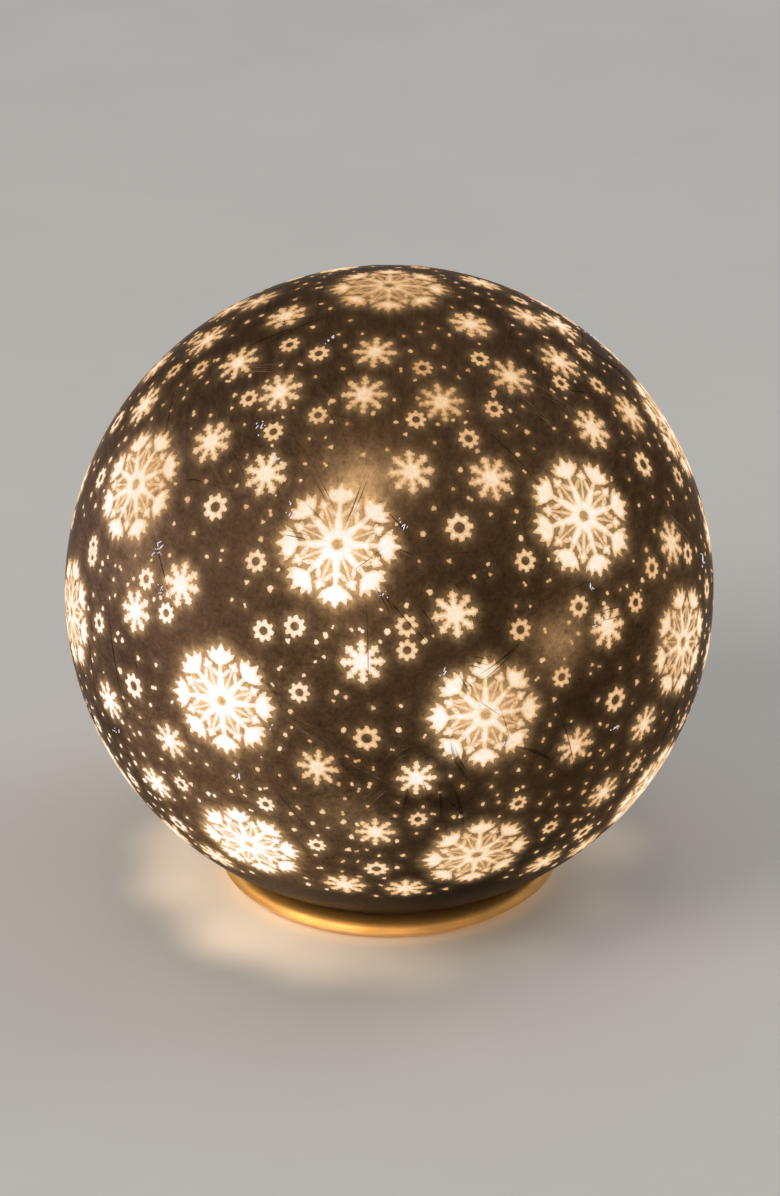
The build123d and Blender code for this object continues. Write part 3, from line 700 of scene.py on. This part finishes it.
shade = between(tree, maths(tree, "MINIMUM", strength, 1.0), (0.003, 0.0017, 0.0006), film_tone)
round_windows = maths(tree, "MULTIPLY", stored(tree, "halo"), maths(tree, "ADD", texture, 0.4))
glow = between(tree, maths(tree, "MINIMUM", round_windows, 1.0), (0.0, 0.0, 0.0), (0.88, 0.53, 0.235))
both = node(tree, "VectorMath", operation="ADD")
tree.links.new(shade, both.inputs[0])
tree.links.new(glow, both.inputs[1])
tree.links.new(both.outputs[0], shader.inputs["Emission Color"])
roughened(tree, shader, blots.outputs["Mask"], 0.22, 0.4)
ball_mesh.materials.append(coat)
ball = linked("silvered_ball", ball_mesh)
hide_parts("glass_ball")

# ---- Hair lines and glints -----------------------------------------------------------------------
# Dark hair lines and bundles of pale scratches cross the film where the brush and the stencils caught it,
# and tiny bluish white sparks that glow are painted on as glints. All are thin marks on the glass.
def away(start, length, angle):
    """The (height, turn) some degrees away from the start, at an angle from level."""
    lat, turn = start
    return lat + length * math.sin(angle), turn + length * math.cos(angle) / math.cos(math.radians(lat))


def bent_path(start, end, bow, steps):
    """Directions from one (height, turn) to another, bowed sideways by some degrees."""
    first, last = facing(*start), facing(*end)
    across = np.cross(first, last)
    across /= np.linalg.norm(across)
    share = np.linspace(0, 1, steps)[:, None]
    path = first * (1 - share) + last * share + across * math.radians(bow) * 4 * share * (1 - share)
    return path / np.linalg.norm(path, axis=1)[:, None]


def marks_piece(name, strips, lift, material):
    """One object of thin strips (path, half width in degrees at its middle) laid on the ball."""
    points, faces, ends = [], [], []
    for path, half in strips:
        along = np.gradient(path, axis=0)
        side = np.cross(path, along)
        side /= np.linalg.norm(side, axis=1)[:, None]
        taper = np.sin(np.linspace(0.12, math.pi - 0.12, len(path)))[:, None] * math.radians(half)
        first = len(points)
        points += [*(path + side * taper), *(path - side * taper)]
        count = len(path)
        faces += [(k, count + k, count + k + 1, k + 1) for k in range(first, first + count - 1)]
        ends += [*taper[:, 0] / math.radians(half)] * 2
    points = np.array(points) / np.linalg.norm(points, axis=1)[:, None]
    thin_piece(name, points, faces, lift, lift + 0.02 * MM, material, lit=ends)


hair, tree, shader = material_named("scratched_film", (0.01, 0.006, 0.003), 0.35, IOR=1.12)
patchy = placed(tree, mottle, Scale=260.0, Contrast=1.2).outputs["Mask"]
cover = maths(tree, "ADD", maths(tree, "MULTIPLY", patchy, 0.5), 0.42)
tree.links.new(maths(tree, "MULTIPLY", stored(tree, "lit"), cover), shader.inputs["Alpha"])
# Each hair line: (height, turn) of its ends, how far it bows and its half width, all in degrees.
hair_lines = [
    ((24, -4.2), (8, -3.5), 0.2, 0.10), ((26, -3), (20.5, 0.4), 0.1, 0.10),
    ((25.6, -2.2), (20.8, 1.2), 0.1, 0.07), ((24.6, -1.6), (15.2, 6.4), 0.3, 0.13),
    ((22.6, 5), (17.5, 8), 0.2, 0.08), ((19, 3.6), (15.8, 6.8), 0.1, 0.12),
    ((13.4, 13.2), (12.2, 17.4), 0.1, 0.10), ((12.6, 13), (11.4, 17), 0.1, 0.10),
    ((12, 12.9), (10.9, 16), 0.1, 0.08), ((15.4, 24), (9.8, 14.4), 0.4, 0.16),
    ((13.6, 22), (8.4, 14.6), 0.2, 0.10), ((10.4, 11.6), (6.4, 13.6), 0.1, 0.12),
    ((9.6, 12.4), (7.4, 14.2), 0.1, 0.08), ((-1, 10), (-9.6, 13.6), -0.5, 0.34),
    ((-2, 10.8), (-8, 13.4), -0.3, 0.22), ((-3.6, 20.8), (-8.6, 29), 0.5, 0.30),
    ((-8.5, 8.2), (-18.5, 8.9), 0.3, 0.24), ((-10.5, 10.8), (-20, 13.2), 0.4, 0.36),
    ((-9.5, 3.2), (-15, 2.2), 0.1, 0.26), ((-8, 5.4), (-13, 6.8), 0.1, 0.10),
    ((-12, 9), (-18, 13.6), 0.3, 0.12), ((44.5, -5.4), (33.6, -9.4), 0.2, 0.12),
    ((44, -4.6), (35.6, -8.2), 0.2, 0.08), ((43.4, -16.4), (37, -10.8), 0.1, 0.10),
    ((42.6, -17), (37.4, -12.2), 0.1, 0.07), ((32.6, -21.4), (32.2, -14.6), 0.05, 0.11),
    ((33.4, -21), (32.9, -15), 0.05, 0.07), ((38.4, -18), (35, -12.6), 0.1, 0.10),
    ((37, 0.4), (34, 3.4), 0.1, 0.16), ((38, -0.6), (34.8, 2.4), 0.1, 0.08),
    ((31.6, 1.4), (30.2, 5), 0.1, 0.14), ((33, 0.6), (27, -8), 0.2, 0.06),
    ((6, 14.2), (2, 19), 0.1, 0.07), ((5.2, 18), (-3, 20.4), 0.2, 0.06),
    ((16, 38), (15.2, 45), 0.2, 0.12), ((14.4, 38.4), (13.4, 46), 0.2, 0.10),
    ((21, 33), (21.4, 39), 0.1, 0.07), ((30.4, 10), (30, 17), 0.1, 0.05),
    ((46, -44), (38, -30), 0.5, 0.06), ((28, -52), (15, -40), 0.6, 0.08),
    ((12, -58), (-6, -52), 0.5, 0.08), ((-12, -20), (-22, -14), 0.3, 0.08),
    ((52, 24), (38, 34), 0.5, 0.05), ((4, 28), (-14, 34), 0.5, 0.10), ((60, -30), (50, -12), 0.6, 0.05),
]
hairs = random.Random(5)
for _ in range(60):                            # more round the sides and back
    lat, turn = hairs.uniform(-38, 70), hairs.uniform(48, 312)
    length, angle = hairs.uniform(5, 16), hairs.uniform(0, math.pi)
    end = away((lat, turn), length, angle)
    hair_lines.append(((lat, turn), end, hairs.uniform(-0.6, 0.6), hairs.uniform(0.05, 0.13)))
hair_strips = [(bent_path(start, end, bow, 14), half) for start, end, bow, half in hair_lines]
marks_piece("hair_lines", hair_strips, 0.14 * MM, hair)

# Fine pale scratches in bundles, where the brush thinned the film and more light comes through.
pale, tree, shader = material_named(
    "thinned_film", (0.01, 0.006, 0.004), 0.3, IOR=1.04, Emission_Strength=1.0)
patchy = placed(tree, mottle, Scale=200.0, Contrast=1.4).outputs["Mask"]
tinted(tree, shader, patchy, (0.10, 0.055, 0.026), (0.30, 0.175, 0.095), "Emission Color")
cover = maths(tree, "MULTIPLY", patchy, 0.5)
tree.links.new(maths(tree, "MULTIPLY", stored(tree, "lit"), cover), shader.inputs["Alpha"])
pale_lines = []
for _ in range(54):
    lat, turn = hairs.uniform(-38, 66), hairs.uniform(-180, 180)
    length, angle, bow = hairs.uniform(5, 15), hairs.uniform(0, math.pi), hairs.uniform(-1.2, 1.2)
    for _ in range(hairs.randrange(2, 7)):
        start = (lat + hairs.gauss(0, 0.9), turn + hairs.gauss(0, 1.1))
        lean, run = angle + hairs.gauss(0, 0.06), length * hairs.uniform(0.5, 1.0)
        pale_lines.append((bent_path(start, away(start, run, lean), bow, 12), hairs.uniform(0.025, 0.06)))
marks_piece("pale_scratches", pale_lines, 0.13 * MM, pale)

# Painted glints: tiny bluish white sparks that glow on the film and stand in for its sparkle.
spark, tree, shader = material_named("painted_glint", (0.1, 0.1, 0.12), 0.3, Emission_Strength=1.0)
flicker = placed(tree, mottle, Scale=900.0, Contrast=1.5).outputs["Mask"]
tinted(tree, shader, flicker, (0.62, 0.52, 0.85), (1.0, 0.97, 1.0), "Emission Color")
# Groups of glints: height, turn, how far they scatter, how many.
glint_groups = [
    (50, -35, 1.6, 9), (45, -28, 1.2, 6), (25, -47, 1.8, 12), (18, -44, 1.4, 7), (-13, -57, 1.2, 5),
    (0, -20, 0.6, 2), (36, -21, 1.5, 6), (24, -1.5, 0.8, 6), (35.5, 2.5, 0.9, 6), (-11, -26.4, 0.5, 3),
    (20, 38.6, 0.7, 4), (14.4, 37.4, 0.6, 3), (-3, 19.6, 0.7, 4), (11, 8.6, 0.8, 5), (-6, 41, 0.7, 3),
    (-26, -22, 1.4, 6), (48, 110, 1.6, 6), (20, 150, 1.5, 6), (5, -120, 1.5, 6), (32, -150, 1.4, 5),
    (-14, 96, 1.2, 5), (-20, -170, 1.2, 5), (70, -30, 1.8, 5), (12, 75, 1.3, 5),
]
glints = []
for lat, turn, reach, count in glint_groups:
    for _ in range(count):
        at = (hairs.gauss(lat, reach / 2), hairs.gauss(turn, reach / 2 / math.cos(math.radians(lat))))
        length, angle = 0.2 + 1.1 * hairs.random() ** 3, hairs.uniform(0.3, 1.6)
        end = (at[0] + length * math.sin(angle), at[1] + length * math.cos(angle))
        glints.append((bent_path(at, end, 0.0, 4), hairs.uniform(0.045, 0.1)))
marks_piece("glints", glints, 0.18 * MM, spark)

# ---- Base ring ----------------------------------------------------------------------------------
# Cast ring with a satin gold lacquer. Its round shoulder carries the ball, and fine turning marks run
# round it.
gold, tree, shader = material_named("satin_gold", (0.68, 0.38, 0.12), 0.4, Metallic=0.8)
satin = placed(tree, mottle, Scale=90.0, Squeeze=(1.0, 1.0, 5.0), Contrast=0.7)
turning = placed(tree, mottle, Scale=60.0, Squeeze=(1.0, 1.0, 60.0), Contrast=1.0)
tinted(tree, shader, satin.outputs["Mask"], (0.55, 0.29, 0.075), (0.72, 0.42, 0.14))
roughened(tree, shader, turning.outputs["Mask"], 0.34, 0.5)
embossed(tree, shader, turning.outputs["Height"], 0.15, 0.3 * MM)


def finished(material, *names):
    """Those CAD nodes show this material."""
    for name in names:
        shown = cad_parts[name]
        if not shown.material_slots:
            shown.data.materials.append(material)
        for place in shown.material_slots:
            place.material = material


finished(gold, "base_ring")


# ---- Seals and foam foot --------------------------------------------------------------------------
# The neck seal and the wire grommet are milky moulded silicone. The foot is die-cut black cell foam,
# glued under the cover; its pores show.
def uneven_finish(name, dark, light, roughness, scale, depth, squeeze=(1.0, 1.0, 1.0), **sockets):
    """A finish that changes softly between two colours, with its grain as relief."""
    material, tree, shader = material_named(name, light, roughness, **sockets)
    cloud = placed(tree, mottle, Scale=scale, Contrast=0.8, Squeeze=squeeze)
    tinted(tree, shader, cloud.outputs["Mask"], dark, light)
    roughened(tree, shader, cloud.outputs["Mask"], roughness - 0.08, roughness + 0.08)
    embossed(tree, shader, cloud.outputs["Height"], 0.5, depth)
    return material


silicone = uneven_finish("milky_silicone", (0.56, 0.55, 0.52), (0.66, 0.65, 0.62), 0.45, 500.0, 0.04 * MM)
finished(silicone, "neck_seal", "wire_grommet")

# Pores: round cells of foam or the fine leather-like skin that a spark-eroded mould leaves.
pores, given, put = make_group("pores", {"Scale": 900.0, "Depth": 1.0}, ("Mask", "Height"))
place = node(pores, "TexCoord").outputs["Object"]
cell_walls = node(pores, "TexVoronoi", feature="F1")
pores.links.new(place, cell_walls.inputs["Vector"])
pores.links.new(given.outputs["Scale"], cell_walls.inputs["Scale"])
hollow = maths(pores, "POWER", cell_walls.outputs["Distance"], 1.6)
rounded = maths(pores, "MULTIPLY", hollow, given.outputs["Depth"])
pores.links.new(rounded, put.inputs["Height"])
pores.links.new(maths(pores, "MINIMUM", rounded, 1.0), put.inputs["Mask"])

# Dust: what settles on faces that look up, in patches.
dust, given, put = make_group("dust", {"Amount": 0.4}, ("Mask",))
face_up = node(dust, "SeparateXYZ")
dust.links.new(node(dust, "NewGeometry").outputs["Normal"], face_up.inputs[0])
patches = placed(dust, mottle, Scale=180.0, Contrast=1.4)
settled = maths(dust, "MULTIPLY", maths(dust, "MAXIMUM", face_up.outputs["Z"], 0.0), patches.outputs["Mask"])
dust.links.new(maths(dust, "MULTIPLY", settled, given.outputs["Amount"]), put.inputs["Mask"])


DUST_TONE = (0.35, 0.33, 0.3)


def moulded(name, base, roughness, pore_scale, depth):
    """Moulded plastic or foam: its skin's pores as relief, soft change of tone and a little dust."""
    material, tree, shader = material_named(name, base, roughness)
    cloud = placed(tree, mottle, Scale=70.0, Contrast=0.8)
    tone = between(tree, cloud.outputs["Mask"], tuple(part * 0.8 for part in base), base)
    tinted(tree, shader, placed(tree, dust, Amount=0.15).outputs["Mask"], tone, DUST_TONE)
    roughened(tree, shader, cloud.outputs["Mask"], roughness - 0.07, roughness + 0.1)
    embossed(tree, shader, placed(tree, pores, Scale=pore_scale).outputs["Height"], 0.6, depth)
    return material


foam = moulded("black_cell_foam", (0.02, 0.02, 0.021), 0.9, 1500.0, 0.3 * MM)
finished(foam, "foot_ring")

# ---- Housing, cover and battery door --------------------------------------------------------------
# The housing is moulded in white plastic, which throws the light back into the ball. The cover, the
# hinged door and the cell tray are black plastic with a finely eroded skin. Screws are zinc-plated.
white_shell = moulded("white_moulded_plastic", (0.78, 0.77, 0.74), 0.42, 2500.0, 0.04 * MM)
finished(white_shell, "housing_cup")
black_shell = moulded("black_moulded_plastic", (0.045, 0.045, 0.047), 0.46, 2200.0, 0.08 * MM)
finished(black_shell, "bottom_cover", "battery_door", "battery_tray")
FINE_GRAIN = 0.03 * MM
zinc = uneven_finish("zinc_plate", (0.52, 0.53, 0.54), (0.68, 0.69, 0.70), 0.34, 900.0, FINE_GRAIN,
                     Metallic=1.0)
finished(zinc, "cover_screws", "tray_screws", "board_screws", "door_screw")
knob_skin = moulded("switch_knob_plastic", (0.045, 0.045, 0.047), 0.45, 2800.0, 0.05 * MM)
finished(knob_skin, "switch_knob")


# ---- Cells and contacts ----------------------------------------------------------------------------
# Three AA cells in plain printed film sleeves with a coppery band; bare ends of nickel-plated steel.
# The strips and springs that join them are nickel-plated and rolled, so their grain runs along them.
def along(tree, axis):
    """The object's own coordinate on one axis, in metres."""
    split = node(tree, "SeparateXYZ")
    tree.links.new(node(tree, "TexCoord").outputs["Object"], split.inputs[0])
    return split.outputs[axis]


def step_at(tree, value, edge, soft):
    """0 below the edge and 1 above it."""
    made = node(tree, "MapRange", From_Min=edge - soft, From_Max=edge + soft)
    tree.links.new(value, made.inputs["Value"])
    return made.outputs[0]


BARE_END = 2.2 * MM                            # uncovered rim of the can at each end
BAND = 13 * MM                                 # coppery band at the end with the nub
for name, nub_end in (("battery_1", 1), ("battery_2", -1), ("battery_3", 1)):
    low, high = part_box(name)
    cell, tree, shader = material_named(f"{name}_sleeve", (0.03, 0.05, 0.08), 0.3, Coat_Weight=0.3)
    where = along(tree, "Y")
    cloud = placed(tree, mottle, Scale=120.0, Contrast=0.7)
    edge = high.y - BAND if nub_end > 0 else low.y + BAND
    band = step_at(tree, where, edge, 0.05 * MM)
    if nub_end < 0:
        band = maths(tree, "SUBTRACT", 1.0, band)
    sleeve = between(tree, band, (0.022, 0.026, 0.034), (0.42, 0.2, 0.09))
    worn = maths(tree, "MULTIPLY", cloud.outputs["Mask"], 0.25)
    sleeve = between(tree, worn, sleeve, (0.09, 0.08, 0.075))
    short_of_end = maths(tree, "SUBTRACT", 1.0, step_at(tree, where, high.y - BARE_END, 0.05 * MM))
    covered = maths(tree, "MULTIPLY", step_at(tree, where, low.y + BARE_END, 0.05 * MM), short_of_end)
    tinted(tree, shader, covered, (0.6, 0.58, 0.54), sleeve)
    bare = maths(tree, "SUBTRACT", 1.0, maths(tree, "MULTIPLY", covered, 0.8))
    tree.links.new(bare, shader.inputs["Metallic"])
    embossed(tree, shader, cloud.outputs["Height"], 0.3, FINE_GRAIN)
    finished(cell, name)

nickel = uneven_finish("rolled_nickel_strip", (0.5, 0.48, 0.44), (0.72, 0.69, 0.63), 0.3, 400.0,
                       FINE_GRAIN, squeeze=(0.15, 1.0, 4.0), Metallic=1.0)
finished(nickel, "contact_positive", "contact_negative", "contact_bridge_1", "contact_bridge_2",
         "contact_spring_1", "contact_spring_2", "contact_spring_3", "timer_crystal", "switch_body")

# ---- Timer board ------------------------------------------------------------------------------------
# Green lacquered board with copper tracks under the lacquer, a moulded chip, two chip resistors, a
# crystal in a tin can and a small capacitor in its sleeve.
board, tree, shader = material_named("green_board", (0.02, 0.16, 0.06), 0.3, Coat_Weight=0.25)
tracks = node(tree, "TexBrick", Scale=520.0, Mortar_Size=0.028, Bias=0.0, Brick_Width=1.3, Row_Height=0.8)
tree.links.new(node(tree, "TexCoord").outputs["Object"], tracks.inputs["Vector"])
cloud = placed(tree, mottle, Scale=200.0, Contrast=0.8)
lacquer = between(tree, cloud.outputs["Mask"], (0.012, 0.11, 0.04), (0.02, 0.17, 0.07))
tinted(tree, shader, tracks.outputs["Fac"], lacquer, (0.10, 0.33, 0.12))
embossed(tree, shader, tracks.outputs["Fac"], 0.4, 0.04 * MM)
finished(board, "circuit_board")
chip = moulded("chip_moulding", (0.02, 0.02, 0.022), 0.55, 6000.0, 0.02 * MM)
finished(chip, "timer_chip")
low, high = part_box("resistors")
ceramic, tree, shader = material_named("chip_resistors", (0.02, 0.02, 0.02), 0.4)
cloud = placed(tree, mottle, Scale=1500.0, Contrast=1.0)
side = along(tree, "X")
TINNED_END = 0.28 * MM
near_end = maths(tree, "SUBTRACT", 1.0, step_at(tree, side, low.x + TINNED_END, 0.02 * MM))
tinned = maths(tree, "ADD", near_end, step_at(tree, side, high.x - TINNED_END, 0.02 * MM))
body_tone = between(tree, cloud.outputs["Mask"], (0.014, 0.014, 0.016), (0.03, 0.03, 0.032))
tinted(tree, shader, tinned, body_tone, (0.62, 0.62, 0.6))
tree.links.new(tinned, shader.inputs["Metallic"])
finished(ceramic, "resistors")
low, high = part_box("capacitor")
can, tree, shader = material_named("capacitor_sleeve", (0.02, 0.03, 0.08), 0.35)
height = along(tree, "Z")
top = step_at(tree, height, high.z - 0.5 * MM, 0.03 * MM)
cloud = placed(tree, mottle, Scale=600.0, Contrast=0.8)
sleeve = between(tree, cloud.outputs["Mask"], (0.012, 0.016, 0.045), (0.022, 0.03, 0.075))
tinted(tree, shader, top, sleeve, (0.7, 0.7, 0.7))
tree.links.new(top, shader.inputs["Metallic"])
finished(can, "capacitor")

# ---- Leads, LED wire and drops ----------------------------------------------------------------------
# Soft insulated leads run from the contacts to the board. The LED wire is bare-looking enamelled copper
# and stands coiled in the ball; each LED is sealed in a clear drop of resin that glows warm white.
red = uneven_finish("red_insulation", (0.36, 0.012, 0.01), (0.5, 0.02, 0.015), 0.42, 700.0, FINE_GRAIN)
black = uneven_finish("black_insulation", (0.012, 0.012, 0.013), (0.024, 0.024, 0.026), 0.42, 700.0,
                      FINE_GRAIN)
finished(red, "lead_red")
finished(black, "lead_black")
copper = uneven_finish("enamelled_copper", (0.62, 0.27, 0.12), (0.86, 0.44, 0.22), 0.28, 350.0,
                       FINE_GRAIN, Metallic=1.0, Coat_Weight=0.4)
finished(copper, "led_wire")
drop, tree, shader = material_named("warm_led_drop", (0.9, 0.85, 0.75), 0.15, Emission_Strength=6.0)
cloud = placed(tree, mottle, Scale=500.0, Contrast=1.2)
tinted(tree, shader, cloud.outputs["Mask"], (1.0, 0.55, 0.25), (1.0, 0.8, 0.55), "Emission Color")
finished(drop, "led_beads")
